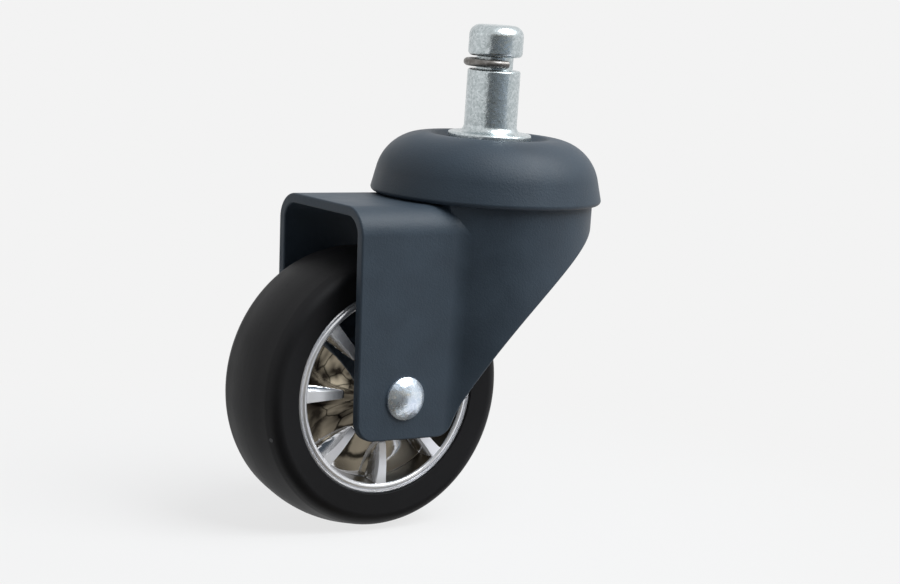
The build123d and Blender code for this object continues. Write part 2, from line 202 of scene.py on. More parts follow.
def lathe(profile, centre, axes, steps=LATHE_STEPS):
    """Turn a profile in mm about an axis.

    A point stands at centre + across * (cos t * first axis + sin t * second axis) + along * third axis.
    """
    turn = np.linspace(0, 2 * np.pi, steps, endpoint=False)
    ring = np.cos(turn)[:, None] * axes[0] + np.sin(turn)[:, None] * axes[1]
    across = profile[:, 0][:, None, None] * ring[None]
    along = profile[:, 1][:, None, None] * axes[2]
    return centre + MM * (across + along)


print("arc points", ARC_POINTS, "and steps round the lathe", LATHE_STEPS)

# %% [markdown]
# ## Shared effects as node groups
#
# Paint, rubber and moulded plastic all have a fine pebbled skin, so that skin is one node group with its
# own scale in each material. Zinc plate and steel wire share a second group, the spangle: small crystals
# that differ in tone. A third gives the few pale specks of dust that settle on dark, dull surfaces.

# %% Node helpers
def new_group(name, inputs, outputs):
    """Empty shader group with float inputs (name, default) and outputs, and its two end nodes."""
    group = bpy.data.node_groups.new(name, "ShaderNodeTree")
    for label, default in inputs:
        socket = group.interface.new_socket(label, in_out="INPUT", socket_type="NodeSocketFloat")
        socket.default_value = default
    for label in outputs:
        group.interface.new_socket(label, in_out="OUTPUT", socket_type="NodeSocketFloat")
    return group, group.nodes.new("NodeGroupInput"), group.nodes.new("NodeGroupOutput")


def add(tree, kind, **values):
    """New node with its plain properties set."""
    node = tree.nodes.new(kind)
    for label, value in values.items():
        setattr(node, label, value)
    return node


def join(tree, source, target):
    """Link an output to an input."""
    tree.links.new(source, target)


def math_node(tree, operation, first, second, clamp=False):
    """Math node on two numbers, each a socket or a plain value."""
    node = add(tree, "ShaderNodeMath", operation=operation, use_clamp=clamp)
    for socket, value in zip(node.inputs, (first, second)):
        if isinstance(value, (int, float)):
            socket.default_value = value
        else:
            join(tree, value, socket)
    return node.outputs[0]


def ramp(tree, source, *stops):
    """Colour ramp through (place, grey or colour) stops."""
    node = add(tree, "ShaderNodeValToRGB")
    while len(node.color_ramp.elements) < len(stops):
        node.color_ramp.elements.new(0.5)
    for element, (place, colour) in zip(node.color_ramp.elements, stops):
        element.position = place
        element.color = (*colour, 1) if isinstance(colour, tuple) else (colour, colour, colour, 1)
    join(tree, source, node.inputs["Fac"])
    return node.outputs["Color"]


# %% Shared groups
FINE_PEBBLES = 2.7
SLOW_PATCHES = 0.06
CRYSTAL_BLUR = 0.45
SPECK_SIZE = 0.09


def build_pebble_group():
    """Pebbled skin: a coarse and a fine noise, added as height, and a slow patchiness."""
    group, entry, exit_node = new_group(
        "pebbled_skin", [("Scale", 1500.0), ("Fine Share", 0.5)], ["Height", "Patch"]
    )
    place = add(group, "ShaderNodeTexCoord").outputs["Object"]
    coarse = add(group, "ShaderNodeTexNoise")
    coarse.inputs["Detail"].default_value = 2
    fine = add(group, "ShaderNodeTexNoise")
    fine.inputs["Detail"].default_value = 1
    patch = add(group, "ShaderNodeTexNoise")
    patch.inputs["Detail"].default_value = 3
    for noise, factor in ((coarse, 1.0), (fine, FINE_PEBBLES), (patch, SLOW_PATCHES)):
        join(group, place, noise.inputs["Vector"])
        join(group, math_node(group, "MULTIPLY", entry.outputs["Scale"], factor), noise.inputs["Scale"])
    extra = math_node(group, "MULTIPLY", fine.outputs["Fac"], entry.outputs["Fine Share"])
    join(group, math_node(group, "ADD", coarse.outputs["Fac"], extra), exit_node.inputs["Height"])
    join(group, patch.outputs["Fac"], exit_node.inputs["Patch"])
    return group


def build_spangle_group():
    """Metal spangle: small crystals with a tone each, broken up by noise, and the height of their grain."""
    group, entry, exit_node = new_group(
        "metal_spangle", [("Scale", 1400.0), ("Contrast", 1.0)], ["Tone", "Height"]
    )
    place = add(group, "ShaderNodeTexCoord").outputs["Object"]
    crystals = add(group, "ShaderNodeTexVoronoi", feature="F1")
    blur = add(group, "ShaderNodeTexNoise")
    blur.inputs["Detail"].default_value = 3
    for texture, factor in ((crystals, 1.0), (blur, CRYSTAL_BLUR)):
        join(group, place, texture.inputs["Vector"])
        join(group, math_node(group, "MULTIPLY", entry.outputs["Scale"], factor), texture.inputs["Scale"])
    split = add(group, "ShaderNodeSeparateColor")
    join(group, crystals.outputs["Color"], split.inputs["Color"])
    both = math_node(group, "MULTIPLY", split.outputs["Red"], blur.outputs["Fac"])
    tone = math_node(group, "MULTIPLY", both, entry.outputs["Contrast"])
    join(group, tone, exit_node.inputs["Tone"])
    join(group, blur.outputs["Fac"], exit_node.inputs["Height"])
    return group


def build_speck_group():
    """Dust: points of a random pattern that lie close to their cell's centre, thinned out by their colour."""
    group, entry, exit_node = new_group("dust_specks", [("Scale", 250.0), ("Share", 0.1)], ["Mask"])
    place = add(group, "ShaderNodeTexCoord").outputs["Object"]
    cells = add(group, "ShaderNodeTexVoronoi", feature="F1")
    join(group, place, cells.inputs["Vector"])
    join(group, entry.outputs["Scale"], cells.inputs["Scale"])
    split = add(group, "ShaderNodeSeparateColor")
    join(group, cells.outputs["Color"], split.inputs["Color"])
    kept = math_node(group, "LESS_THAN", split.outputs["Red"], entry.outputs["Share"])
    size = math_node(group, "MULTIPLY", split.outputs["Green"], SPECK_SIZE)
    inside = math_node(group, "LESS_THAN", cells.outputs["Distance"], size)
    join(group, math_node(group, "MULTIPLY", kept, inside), exit_node.inputs["Mask"])
    return group


PEBBLE = build_pebble_group()
SPANGLE = build_spangle_group()
SPECKS = build_speck_group()
print("groups:", PEBBLE.name, SPANGLE.name, SPECKS.name)

# %% [markdown]
# ## Materials
#
# Each finish starts as a Principled shader. Numbers that are the same all over are set on the shader
# itself. What changes over the surface comes from the groups: grain in the normal, patches in the
# roughness, crystals in the colour.

# %% Material helpers
def new_material(name, **sockets):
    """Material with one Principled shader, and its constant inputs set by name."""
    material = bpy.data.materials.new(name)
    material.use_nodes = True
    shader = material.node_tree.nodes["Principled BSDF"]
    for label, value in sockets.items():
        shader.inputs[label.replace("_", " ")].default_value = value
    return material, material.node_tree, shader


def place_group(tree, group, **values):
    """A group in a material, with its own values."""
    node = add(tree, "ShaderNodeGroup", node_tree=group)
    for label, value in values.items():
        node.inputs[label.replace("_", " ")].default_value = value
    return node


def add_bump(tree, shader, height, strength, depth):
    """Bump the shader's normal by a height, with its depth in metres."""
    bump = add(tree, "ShaderNodeBump")
    bump.inputs["Strength"].default_value = strength
    bump.inputs["Distance"].default_value = depth
    join(tree, height, bump.inputs["Height"])
    join(tree, bump.outputs["Normal"], shader.inputs["Normal"])


def add_dust(tree, shader, colour, dust, **values):
    """Base colour of a shader: a colour with specks of dust over it."""
    specks = place_group(tree, SPECKS, **values)
    dusty = add(tree, "ShaderNodeMix", data_type="RGBA")
    dusty.inputs["B"].default_value = (*dust, 1)
    join(tree, specks.outputs["Mask"], dusty.inputs["Factor"])
    join(tree, colour, dusty.inputs["A"])
    join(tree, dusty.outputs["Result"], shader.inputs["Base Color"])


# %% Powder coat
def make_powder_coat():
    """Blue-black powder coat: a dull, slightly pebbled skin with a few pale specks."""
    material, tree, shader = new_material("powder_coat", Specular_IOR_Level=0.30)
    skin = place_group(tree, PEBBLE, Scale=2200.0, Fine_Share=0.6)
    coat = ramp(tree, skin.outputs["Patch"], (0.3, (0.0283, 0.0420, 0.0578)), (0.7, (0.0348, 0.0514, 0.0700)))
    add_dust(tree, shader, coat, (0.16, 0.17, 0.18), Scale=170.0, Share=0.05)
    join(tree, ramp(tree, skin.outputs["Patch"], (0.3, 0.46), (0.7, 0.56)), shader.inputs["Roughness"])
    add_bump(tree, shader, skin.outputs["Height"], strength=0.7, depth=0.00006)
    return material


# %% Zinc plate, spring wire and bearing steel
ZINC_RELIEF = 0.22


def make_zinc_plate(name, scale, metal, dark, light):
    """Bright zinc plate: crystals that differ in tone and lie uneven enough to break reflections up.

    Larger crystals stand out more, so the depth of the relief goes with 1 / scale.
    """
    material, tree, shader = new_material(name, Metallic=metal)
    spangle = place_group(tree, SPANGLE, Scale=scale, Contrast=1.8)
    join(tree, ramp(tree, spangle.outputs["Tone"], (0.0, dark), (1.0, light)), shader.inputs["Base Color"])
    join(tree, ramp(tree, spangle.outputs["Tone"], (0.0, 0.34), (1.0, 0.22)), shader.inputs["Roughness"])
    add_bump(tree, shader, spangle.outputs["Height"], strength=0.9, depth=ZINC_RELIEF / scale)
    return material


def make_spring_wire():
    """Drawn spring wire: dark brownish steel with a faint crystal grain."""
    material, tree, shader = new_material("spring_wire", Metallic=1.0)
    spangle = place_group(tree, SPANGLE, Scale=1600.0, Contrast=1.4)
    tone = ramp(tree, spangle.outputs["Tone"], (0.0, (0.15, 0.14, 0.13)), (1.0, (0.28, 0.27, 0.26)))
    join(tree, tone, shader.inputs["Base Color"])
    join(tree, ramp(tree, spangle.outputs["Tone"], (0.0, 0.46), (1.0, 0.34)), shader.inputs["Roughness"])
    add_bump(tree, shader, spangle.outputs["Height"], strength=0.3, depth=0.00004)
    return material


def make_bearing_steel():
    """Polished bearing steel with a thin film of grease that varies its gloss."""
    material, tree, shader = new_material("bearing_steel", Metallic=1.0)
    skin = place_group(tree, PEBBLE, Scale=900.0, Fine_Share=0.3)
    tone = ramp(tree, skin.outputs["Patch"], (0.3, (0.50, 0.50, 0.49)), (0.7, (0.60, 0.60, 0.60)))
    join(tree, tone, shader.inputs["Base Color"])
    join(tree, ramp(tree, skin.outputs["Height"], (0.3, 0.14), (1.1, 0.28)), shader.inputs["Roughness"])
    return material


# %% Chrome, rubber and moulding
SATIN_ROUGHNESS = 0.28
SATIN_LACQUER = 0.62
BRIGHT_TONE = (0.82, 0.83, 0.85)
SATIN_TONE = (0.98, 0.98, 1.0)
# Dark colour of the wall between dish and bead: painted shade, as if the corner lay in shadow.
CORNER_SHADE_TONE = (0.11, 0.095, 0.075)


def make_chrome_plate():
    """Chrome on a moulding: a mirror with faint waves.

    Where the piece's satin mask is set it is rougher, and a milky lacquer takes the place of part of the
    metal. Where its corner mask is set it is rougher, and its colour is dark with painted shade.
    """
    material, tree, shader = new_material("chrome_plate")
    skin = place_group(tree, PEBBLE, Scale=320.0, Fine_Share=0.2)
    satin = add(tree, "ShaderNodeAttribute", attribute_name="satin").outputs["Fac"]
    corner = add(tree, "ShaderNodeAttribute", attribute_name="corner").outputs["Fac"]
    # The corner mask mixes in a dark colour: painted shade on the wall between dish and bead.
    tone = add(tree, "ShaderNodeMix", data_type="RGBA")
    tone.inputs["B"].default_value = (*CORNER_SHADE_TONE, 1)
    join(tree, corner, tone.inputs["Factor"])
    join(tree, ramp(tree, satin, (0.0, BRIGHT_TONE), (1.0, SATIN_TONE)), tone.inputs["A"])
    join(tree, tone.outputs["Result"], shader.inputs["Base Color"])
    bright = ramp(tree, skin.outputs["Height"], (0.3, 0.035), (1.0, 0.075))
    dull = math_node(tree, "MULTIPLY", math_node(tree, "ADD", satin, corner), SATIN_ROUGHNESS)
    join(tree, math_node(tree, "ADD", bright, dull), shader.inputs["Roughness"])
    lacquer = math_node(tree, "MULTIPLY", satin, SATIN_LACQUER)
    join(tree, math_node(tree, "SUBTRACT", 1.0, lacquer), shader.inputs["Metallic"])
    add_bump(tree, shader, skin.outputs["Height"], strength=0.12, depth=0.0001)
    return material


def make_tyre_rubber():
    """Black tyre rubber: dull, finely pebbled, with patches of bloom and a few specks."""
    material, tree, shader = new_material("tyre_rubber", Specular_IOR_Level=0.19)
    skin = place_group(tree, PEBBLE, Scale=1100.0, Fine_Share=0.5)
    rubber = ramp(tree, skin.outputs["Patch"], (0.3, (0.005, 0.005, 0.006)), (0.7, (0.008, 0.008, 0.009)))
    add_dust(tree, shader, rubber, (0.09, 0.09, 0.09), Scale=150.0, Share=0.04)
    join(tree, ramp(tree, skin.outputs["Patch"], (0.3, 0.46), (0.7, 0.58)), shader.inputs["Roughness"])
    add_bump(tree, shader, skin.outputs["Height"], strength=0.3, depth=0.00006)
    return material


def make_black_moulding():
    """Black moulded plastic: satin, with a faint pebbled skin."""
    material, tree, shader = new_material("black_moulding", Specular_IOR_Level=0.5)
    skin = place_group(tree, PEBBLE, Scale=1300.0, Fine_Share=0.4)
    tone = ramp(tree, skin.outputs["Patch"], (0.3, (0.012, 0.012, 0.012)), (0.7, (0.018, 0.018, 0.018)))
    join(tree, tone, shader.inputs["Base Color"])
    join(tree, ramp(tree, skin.outputs["Patch"], (0.3, 0.36), (0.7, 0.46)), shader.inputs["Roughness"])
    add_bump(tree, shader, skin.outputs["Height"], strength=0.2, depth=0.00004)
    return material


POWDER_COAT = make_powder_coat()
ZINC_PLATE = make_zinc_plate(
    "zinc_plate", scale=2400.0, metal=0.92, dark=(0.42, 0.47, 0.48), light=(0.64, 0.69, 0.71)
)
BLUE_ZINC = make_zinc_plate(
    "blue_zinc_plate", scale=1500.0, metal=0.80, dark=(0.64, 0.73, 0.83), light=(0.84, 0.90, 0.96)
)
SPRING_WIRE = make_spring_wire()
BEARING_STEEL = make_bearing_steel()
CHROME_PLATE = make_chrome_plate()
TYRE_RUBBER = make_tyre_rubber()
BLACK_MOULDING = make_black_moulding()
print("materials:", [material.name for material in bpy.data.materials if material.use_nodes])

# %% [markdown]
# ## The stem
#
# The stem is one turned piece: a rounded head, a groove for the grip ring, a shank that runs into its
# flange with a fillet, and the kingpin below. Its heights come from the frame, so a lathe profile is the
# plain way to make it. The end below the kingpin is peened over under the lower race.

# %% Stem
stem_low, stem_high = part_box("stem")
race_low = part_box("lower_race")[0]
STEM_TOP = stem_high.z / MM
STEM_BOTTOM = stem_low.z / MM
FLANGE_R = stem_high.x / MM
FLANGE_UNDER = -2.0
HEAD_R = 5.6
HEAD_LENGTH = 6.4
HEAD_BOTTOM = STEM_TOP - HEAD_LENGTH
HEAD_ROUND = 2.2
HEAD_FOOT_ROUND = 0.9
SHANK_R = 5.45
GROOVE_WIDTH = 2.7
GROOVE_ROUND = 0.1
SHANK_TOP = HEAD_BOTTOM - GROOVE_WIDTH
NECK_R = 3.8
ROOT_ROUND = 1.5
EDGE_ROUND = 0.5
KINGPIN_R = 4.5
TENON_R = 3.6
RACE_SHEET = 1.6
RACE_UNDER = race_low.z / MM
PEEN_R = 5.6
PEEN_ROUND = 1.1

stem_profile = rounded_profile(
    [
        (0, STEM_TOP, 0),
        (HEAD_R, STEM_TOP, HEAD_ROUND),
        (HEAD_R, HEAD_BOTTOM, HEAD_FOOT_ROUND),
        (NECK_R, HEAD_BOTTOM, GROOVE_ROUND),
        (NECK_R, SHANK_TOP, GROOVE_ROUND),
        (SHANK_R, SHANK_TOP, EDGE_ROUND),
        (SHANK_R, 0, ROOT_ROUND),
        (FLANGE_R, 0, EDGE_ROUND),
        (FLANGE_R, FLANGE_UNDER, EDGE_ROUND),
        (KINGPIN_R, FLANGE_UNDER, 0),
        (KINGPIN_R, RACE_UNDER + RACE_SHEET, 0),
        (TENON_R, RACE_UNDER + RACE_SHEET, 0),
        (TENON_R, RACE_UNDER, 0),
        (PEEN_R, RACE_UNDER, 0),
        (PEEN_R, STEM_BOTTOM, PEEN_ROUND),
        (0, STEM_BOTTOM, 0),
    ]
)
stem = grid_piece("stem_turned", lathe(stem_profile, ORIGIN, STEM_AXES))
dress(stem, "stem", "zinc_plate", ZINC_PLATE, "stem")

# %% [markdown]
# ## The grip ring
#
# A split ring of spring wire sits loose in the groove and grips the socket. It is a circle carried along
# an arc, and the circle shrinks to a point at both ends, so the cut ends come out rounded.

# %% Grip ring
ring_low, ring_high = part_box("grip_ring")
WIRE_R = (ring_high.z - ring_low.z) / MM / 2
RING_HEIGHT = (ring_high.z + ring_low.z) / MM / 2
RING_SLACK = 0.55
RING_MEAN_R = NECK_R + WIRE_R + RING_SLACK
RING_SHIFT = 0.45
RING_GAP = math.radians(103)
RING_BEARING = math.radians(-36)
END_ROUND = 0.35


def wire_ring(steps=220, round_steps=28):
    """Circle of the wire's radius carried along an arc about the stem.

    The distance to the nearer end, over the length of its rounding, is taken as the height on a quarter
    circle, whose width scales the wire's radius. So the wire closes to a point at each end.
    """
    share = 0.5 - 0.5 * np.cos(np.linspace(0, np.pi, steps))
    bearing = RING_BEARING + RING_GAP / 2 + share * (2 * np.pi - RING_GAP)
    length = RING_MEAN_R * (2 * np.pi - RING_GAP)
    to_end = np.minimum(share, 1 - share) * length
    closing = np.clip(1 - to_end / END_ROUND, 0, 1)
    radius = WIRE_R * np.sqrt(1 - closing**2)
    turn = np.linspace(0, 2 * np.pi, round_steps, endpoint=False)
    across = RING_MEAN_R + radius[:, None] * np.cos(turn)
    points = np.stack(
        [
            across * np.cos(bearing)[:, None] - RING_SHIFT * math.cos(RING_BEARING),
            across * np.sin(bearing)[:, None] - RING_SHIFT * math.sin(RING_BEARING),
            RING_HEIGHT + radius[:, None] * np.sin(turn),
        ],
        axis=2,
    )
    return MM * points


ring = grid_piece("grip_ring_wire", wire_ring(), open_ends=True)
dress(ring, "stem", "spring_steel", SPRING_WIRE, "grip_ring")

# %% [markdown]
# ## The swivel cap
#
# The cap is a pressed dome: a sunk floor under the flange, a rounded crest and a flared skirt. Its inside
# follows its outside at the thickness of the sheet, so the inner corners are the outer ones set inwards.

# %% Swivel cap
cap_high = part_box("swivel_cap")[1]
SEAT_FIT = 0.02
CAP_SHEET = 1.2
CAP_CREST = cap_high.z / MM
CAP_BOTTOM = -13.1
CAP_LIP_R = 23.985
RECESS_R = 10.3
CREST_IN_R = 12.4
CREST_OUT_R = 21.1


def set_inwards(corners, distance):
    """Corners of a line moved to its right.

    Each corner moves by distance * (sum of the normals of its two runs) / (1 + the product of both normals).
    """
    corners = np.asarray(corners, float)
    run = np.diff(corners, axis=0)
    run /= np.linalg.norm(run, axis=1, keepdims=True)
    normal = np.stack([run[:, 1], -run[:, 0]], axis=1)
    first = np.vstack([normal[:1], normal])
    second = np.vstack([normal, normal[-1:]])
    blend = 1 + (first * second).sum(1, keepdims=True)
    return corners + distance * (first + second) / blend


cap_line = [
    (KINGPIN_R + SEAT_FIT, FLANGE_UNDER),
    (RECESS_R, FLANGE_UNDER),
    (CREST_IN_R, CAP_CREST),
    (CREST_OUT_R, CAP_CREST),
    (CAP_LIP_R, CAP_BOTTOM),
]
cap_rounds = [0, 1.5, 1.5, 10.0, 0.8]
cap_inner_rounds = [0, 2.7, 0.3, 8.8, 0.1]
cap_inner = set_inwards(cap_line, CAP_SHEET)
cap_corners = [(*place, radius) for place, radius in zip(cap_line, cap_rounds)]
cap_corners += [(*place, radius) for place, radius in zip(cap_inner[::-1], cap_inner_rounds[::-1])]
cap_profile = rounded_profile(cap_corners, FINE_ARC_POINTS)
cap = grid_piece("swivel_cap_pressing", lathe(cap_profile, ORIGIN, STEM_AXES, FINE_LATHE_STEPS))
dress(cap, "stem", "powder_coat", POWDER_COAT, "swivel_cap")

# %% [markdown]
# ## The fork
#
# The fork is one pressing with a keyhole plan, bent edges and a trimmed outline. Its solid already has the
# bends and the rounded sheet edges, so the frame's mesh is copied, merged into one shell and shaded smooth.

# %% Fork
fork = merged_copy("fork_pressing", "fork")
dress(fork, "fork", "powder_coat", POWDER_COAT, "fork")

# %% [markdown]
# ## Axle rivet, core and inner pieces
#
# The rivet's head is a low dome on a thin rim. The core, the lower race and the sleeve hardly show, so
# their merged meshes do, and so do those of the balls.

# %% Axle rivet
rivet_low, rivet_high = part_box("axle_rivet")
RIVET_SEAT = 15.3
RIVET_RIM = 0.5
RIVET_R = 3.0
RIVET_HEAD_R = 4.3
PEENED_R = 4.0
RIVET_STEPS = 96
HEAD_TOP = rivet_low.y / MM
PEENED_TOP = rivet_high.y / MM


def dome_line(edge_r, edge, top, points=24):
    """Arc of a ball from the axis to the dome's edge: radius (edge_r^2 + rise^2) / (2 * rise)."""
    rise = abs(top - edge)
    ball_r = (edge_r**2 + rise**2) / (2 * rise)
    swing = np.linspace(0, math.asin(edge_r / ball_r), points)
    fall = ball_r * (1 - np.cos(swing))
    return np.stack([ball_r * np.sin(swing), top - np.sign(top - edge) * fall], axis=1)


rivet_head = dome_line(RIVET_HEAD_R, -RIVET_SEAT - RIVET_RIM, HEAD_TOP)
rivet_end = dome_line(PEENED_R, RIVET_SEAT + RIVET_RIM, PEENED_TOP)[::-1]
rivet_sides = np.array(
    [
        (RIVET_HEAD_R, -RIVET_SEAT),
        (RIVET_R, -RIVET_SEAT),
        (RIVET_R, RIVET_SEAT),
        (PEENED_R, RIVET_SEAT),
    ]
)
rivet_profile = np.vstack([rivet_head, rivet_sides, rivet_end])
rivet = grid_piece("axle_rivet_turned", lathe(rivet_profile, HUB_CENTRE, AXLE_AXES, RIVET_STEPS))
dress(rivet, "fork", "zinc_plate", BLUE_ZINC, "axle_rivet")

# %% Core, race, sleeve and balls
core = merged_copy("wheel_core_moulding", "wheel_core")
dress(core, "wheel", "black_moulding", BLACK_MOULDING, "wheel_core")
race = merged_copy("lower_race_pressing", "lower_race")
dress(race, "stem", "zinc_plate", ZINC_PLATE, "lower_race")
sleeve = merged_copy("axle_sleeve_tube", "axle_sleeve")
dress(sleeve, "fork", "bearing_steel", BEARING_STEEL, "axle_sleeve")
for ring_place in ("upper", "lower"):
    balls = merged_copy(f"{ring_place}_balls_polished", f"{ring_place}_race_balls")
    dress(balls, f"{ring_place}_balls", "bearing_steel", BEARING_STEEL, f"{ring_place}_race_balls")

# %% [markdown]
# ## The tyre
#
# The tyre has a crowned tread, soft shoulders and side walls that fall towards the hub cap's ring. The
# crown is a circle, and straight lines run from it to the tread's edges, where small arcs take over. A
# thin ridge in the middle of the tread is the parting line of its mould.

# %% Tyre
TYRE_R = 28.25
TREAD_HALF = 7.4
TREAD_DROP = 0.9
TREAD_EDGE_R = TYRE_R - TREAD_DROP
TREAD_EDGE_ROUND = 3.0
CROWN_R = 26.0
SHOULDER_DROP = 1.0
SHOULDER_R = TREAD_EDGE_R - SHOULDER_DROP
SHOULDER_ROUND = 2.4
WALL_TOP = 9.9
WALL_FOOT = 9.25
CAP_STEP_R = 20.67
CAP_STEP_ROUND = 0.15
SEAT_R = 19.9
SEAT_HALF = 7.0
RIDGE_HALF = 0.22
RIDGE_HEIGHT = 0.09
RIDGE_ROOT = 0.2
RIDGE_ROUND = 0.12


def crown_apex(edge_r, half, crown_r, top_r):
    """Where the two tangents from the tread's edges to the crown's circle meet, above the tread's middle."""
    reach = crown_r + edge_r - top_r
    slope = math.atan2(half, reach) - math.acos(crown_r / math.hypot(reach, half))
    return edge_r + half * math.tan(slope)


tyre_half = [
    (TREAD_EDGE_R, TREAD_HALF, TREAD_EDGE_ROUND),
    (SHOULDER_R, WALL_TOP, SHOULDER_ROUND),
    (CAP_STEP_R, WALL_FOOT, CAP_STEP_ROUND),
    (CAP_STEP_R, SEAT_HALF, 0),
    (SEAT_R, SEAT_HALF, 0),
]
tyre_other_half = [(across, -along, radius) for across, along, radius in reversed(tyre_half)]
tyre_apex = crown_apex(TREAD_EDGE_R, TREAD_HALF, CROWN_R, TYRE_R)
tyre_corners = [(tyre_apex, 0, CROWN_R), *tyre_half, *tyre_other_half]
tyre_profile = rounded_profile(tyre_corners, FINE_ARC_POINTS)
tyre = grid_piece("tyre_moulding", lathe(tyre_profile, HUB_CENTRE, AXLE_AXES, FINE_LATHE_STEPS))
dress(tyre, "wheel", "tyre_rubber", TYRE_RUBBER, "tyre")

ridge_corners = [
    (TYRE_R - RIDGE_ROOT, RIDGE_HALF, 0),
    (TYRE_R + RIDGE_HEIGHT, 0, RIDGE_ROUND),
    (TYRE_R - RIDGE_ROOT, -RIDGE_HALF, 0),
]
ridge_points = lathe(rounded_profile(ridge_corners), HUB_CENTRE, AXLE_AXES, FINE_LATHE_STEPS)
ridge = grid_piece("tyre_parting_line", ridge_points)
dress(ridge, "wheel", "tyre_rubber", TYRE_RUBBER)

# %% [markdown]
# ## The hub caps
#
# A hub cap is a plated moulding: a thin lip, a dark groove, a bead, a dish that sweeps up to the hub and
# eight fins that run from the bead towards it. The face is one polar grid. Its rows follow the turned
# profile, its columns follow the flanks of the fins, and the fins are raised from the dish by a soft maximum,
# so that every edge has the small radius that a plated moulding has. Masks on the points tell the satin
# crests and the dull corner by the bead, whose dark colour is painted shade, from the bright rest.

# %% Hub cap profile
RIM_R = 20.65
RIM_FACE = 9.0
LIP_FALL = 0.2
LIP_R = 20.2
CORE_R = 19.9
BEAD_TOP = RIM_FACE - LIP_FALL
BEAD_R = 18.65
BEAD_MIDDLE_R = 19.27
BEAD_RISE = 0.4
BEAD_FOOT = (0.03, 0.05)
LIP_DEPTH = 0.55
GROOVE_FLOOR = RIM_FACE - LIP_DEPTH
LIP_CUT = 0.06
RIM_CUT = 0.08
DISH_R = 17.75
DISH_RIM = 5.6
DISH_HUB = 10.0
DISH_SAG = 0.75
WALL_START = (0.1, 0.15)
DISH_BACK = 7.6
BORE_R = 7.59
FOOT_R = 18.68
FOOT_IN = 16.85
WEB_SEAT = 3.42
RIM_SEAT = 7.02
DISH_POINTS = 84
WALL_POINTS = 22
BEAD_POINTS = 12
EDGE_POINTS = 3


def arc_through(first, middle, last, points):
    """Points of the parabola through three places, which is close to their arc where it is shallow."""
    t = np.linspace(0, 1, points)[:, None]
    weights = [(1 - t) * (1 - 2 * t), 4 * t * (1 - t), t * (2 * t - 1)]
    return sum(weight * np.array(place, float) for weight, place in zip(weights, (first, middle, last)))


def bowed(first, last, sag, points):
    """Points of a shallow bow: at share t of the chord it lies 4 * t * (1 - t) * sag to the chord's right."""
    t = np.linspace(0, 1, points)[:, None]
    first, last = np.array(first, float), np.array(last, float)
    across, along = (last - first) / np.linalg.norm(last - first)
    return first + t * (last - first) + 4 * t * (1 - t) * sag * np.array((along, -across))


def straight(first, last, points):
    """Evenly spaced points from one place to another."""
    t = np.linspace(0, 1, points)[:, None]
    return (1 - t) * np.array(first, float) + t * np.array(last, float)


cap_face = np.vstack(
    [
        bowed((BORE_R, DISH_HUB), (DISH_R, DISH_RIM), DISH_SAG, DISH_POINTS),
        straight((DISH_R + WALL_START[0], DISH_RIM + WALL_START[1]), (BEAD_R, BEAD_TOP), WALL_POINTS),
        arc_through(
            (BEAD_R + BEAD_FOOT[0], BEAD_TOP + BEAD_FOOT[1]),
            (BEAD_MIDDLE_R, BEAD_TOP + BEAD_RISE),
            (CORE_R - BEAD_FOOT[0], BEAD_TOP),
            BEAD_POINTS,
        ),
        straight((CORE_R, BEAD_TOP - LIP_CUT), (CORE_R, GROOVE_FLOOR), EDGE_POINTS),
        straight((LIP_R, GROOVE_FLOOR), (LIP_R, RIM_FACE - LIP_CUT), EDGE_POINTS),
        straight((LIP_R + LIP_CUT, RIM_FACE), (RIM_R - RIM_CUT, RIM_FACE - LIP_FALL), EDGE_POINTS),
        straight((RIM_R, RIM_FACE - LIP_FALL - RIM_CUT), (RIM_R, RIM_SEAT), EDGE_POINTS),
    ]
)
cap_back = np.array([(FOOT_R, RIM_SEAT), (FOOT_R, WEB_SEAT), (FOOT_IN, WEB_SEAT), (BORE_R, DISH_BACK)])
print("hub cap profile points:", len(cap_face) + len(cap_back))

# %% Hub cap with fins
FIN_COUNT = 8
FIN_START = 2.3
FIN_INNER = BORE_R + FIN_START
FIN_OUTER = BEAD_MIDDLE_R
FIN_BASE = (2.8, 4.8)
FIN_CREST = (1.3, 2.3)
FIN_BULGE = 0.35
FIN_TIP_DROP = 0.6
FIN_TIP_SLOPE = 12
FIN_REACH_IN = 0.6
FIN_REACH_OUT = 0.4
FIN_ROOT = 3.4
FIN_EDGE = 0.10
FIN_FOOT = 0.12
FIN_COLUMNS = 20
GAP_COLUMNS = 13
SATIN_DEPTH = 1.3
SATIN_BLEND = 0.5
RING_SATIN = 0.60


def soft_max(first, second, radius):
    """Maximum with its corner rounded: (a + b + sqrt((a - b)^2 + radius^2)) / 2."""
    return 0.5 * (first + second + np.sqrt((first - second) ** 2 + radius**2))


def fin_width(across_r, ends):
    """Width of a fin: it grows evenly from the inner end to the outer one, and not beyond them."""
    along = np.clip((across_r - FIN_INNER) / (FIN_OUTER - FIN_INNER), 0, 1)
    return ends[0] + along * (ends[1] - ends[0])


def fin_height(across_r, sideways):
    """Height of a fin over the wheel's middle, at a radius and a distance from the fin's own line.

    The crest is a parabola that bulges between the bead and the knee. It drops at 45 degrees to the tip and
    falls away inside it. Each flank is a plane from the crest's edge to the foot. The lower of both counts.
    """
    knee_r = FIN_INNER + FIN_TIP_DROP / 2
    bow = np.clip((across_r - knee_r) / (FIN_OUTER - knee_r), 0, 1)
    sag = FIN_BULGE + FIN_TIP_DROP / 4
    crest = BEAD_TOP - FIN_TIP_DROP / 2 * (1 - bow) + 4 * sag * bow * (1 - bow)
    crest -= np.clip(knee_r - across_r, 0, None)
    crest -= FIN_TIP_SLOPE * np.clip(FIN_INNER - across_r, 0, None)
    base = fin_width(across_r, FIN_BASE)
    ridge = fin_width(across_r, FIN_CREST)
    top = BEAD_TOP + 2 * FIN_BULGE
    flank = top - (np.abs(sideways) - ridge / 2) * (top - FIN_ROOT) / ((base - ridge) / 2)
    return -soft_max(-crest, -flank, FIN_EDGE)


